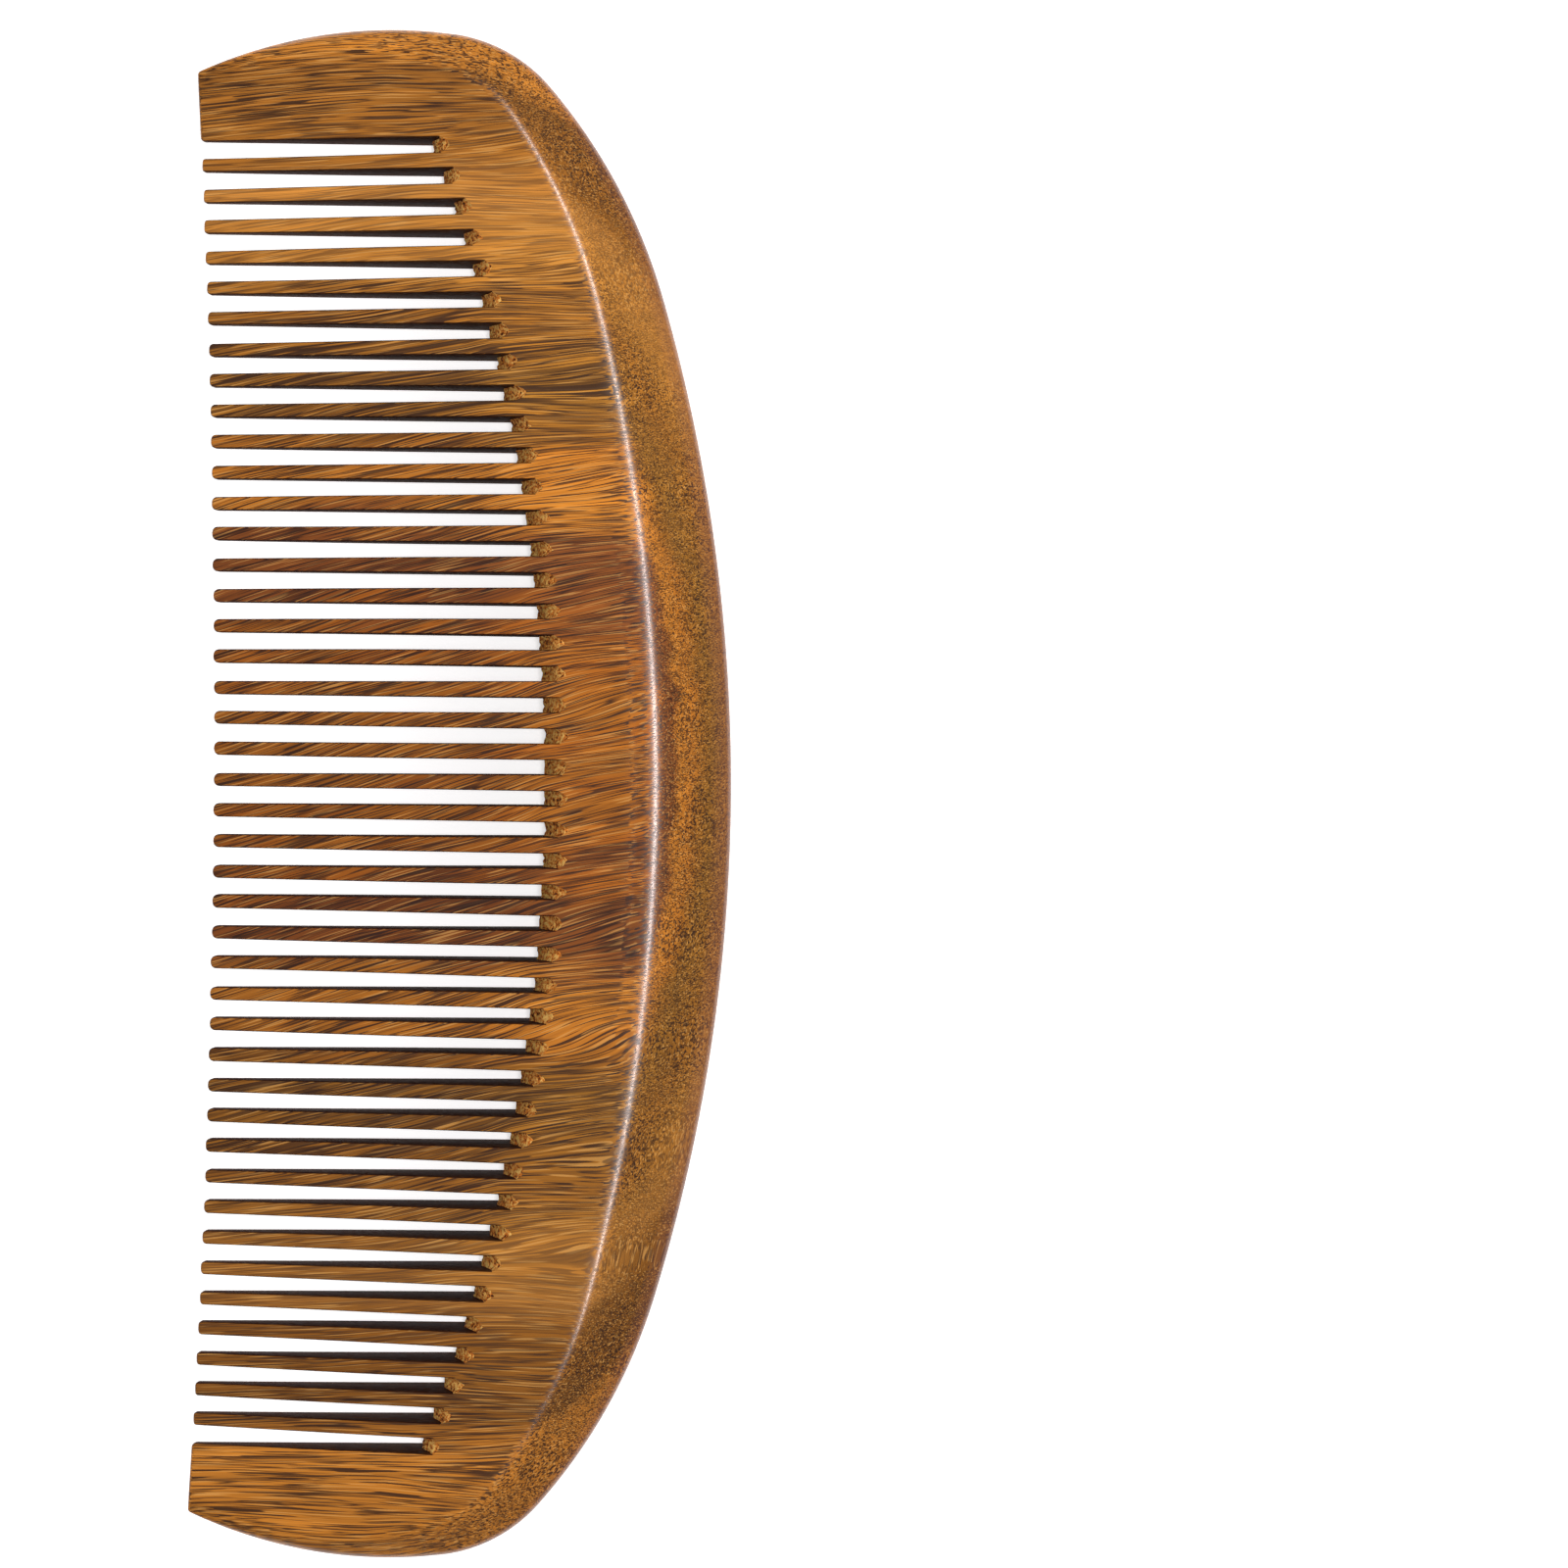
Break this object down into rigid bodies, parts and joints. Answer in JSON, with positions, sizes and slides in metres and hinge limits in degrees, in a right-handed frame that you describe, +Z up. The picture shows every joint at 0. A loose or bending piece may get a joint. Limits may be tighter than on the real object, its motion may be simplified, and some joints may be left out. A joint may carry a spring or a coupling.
{
  "type": "beard comb",
  "caption": "Flat one-piece wooden beard comb with a thick, rounded curved back, fine tapered teeth and a wide guard at each end.",
  "frame": {"origin": "centre of the comb's footprint, on the surface that it lies on", "axes": "+Z up through the thickness, +Y along the row of teeth, -X towards the tooth tips and +X towards the curved back"},
  "size_m": [0.064, 0.18, 0.0107],
  "materials": {
    "wood": "polished, waxed sandalwood with open end grain in the sawn gullets"
  },
  "bodies": {
    "root": {"spine": "wood", "end_guard_left": "wood", "end_guard_right": "wood", "tooth_01": "wood", "tooth_02": "wood", "tooth_03": "wood", "tooth_04": "wood", "tooth_05": "wood", "tooth_06": "wood", "tooth_07": "wood", "tooth_08": "wood", "tooth_09": "wood", "tooth_10": "wood", "tooth_11": "wood", "tooth_12": "wood", "tooth_13": "wood", "tooth_14": "wood", "tooth_15": "wood", "tooth_16": "wood", "tooth_17": "wood", "tooth_18": "wood", "tooth_19": "wood", "tooth_20": "wood", "tooth_21": "wood", "tooth_22": "wood", "tooth_23": "wood", "tooth_24": "wood", "tooth_25": "wood", "tooth_26": "wood", "tooth_27": "wood", "tooth_28": "wood", "tooth_29": "wood", "tooth_30": "wood", "tooth_31": "wood", "tooth_32": "wood", "tooth_33": "wood", "tooth_34": "wood", "tooth_35": "wood", "tooth_36": "wood", "tooth_37": "wood", "tooth_38": "wood", "tooth_39": "wood", "tooth_40": "wood", "tooth_41": "wood", "tooth_42": "wood"}
  },
  "joints": []
}
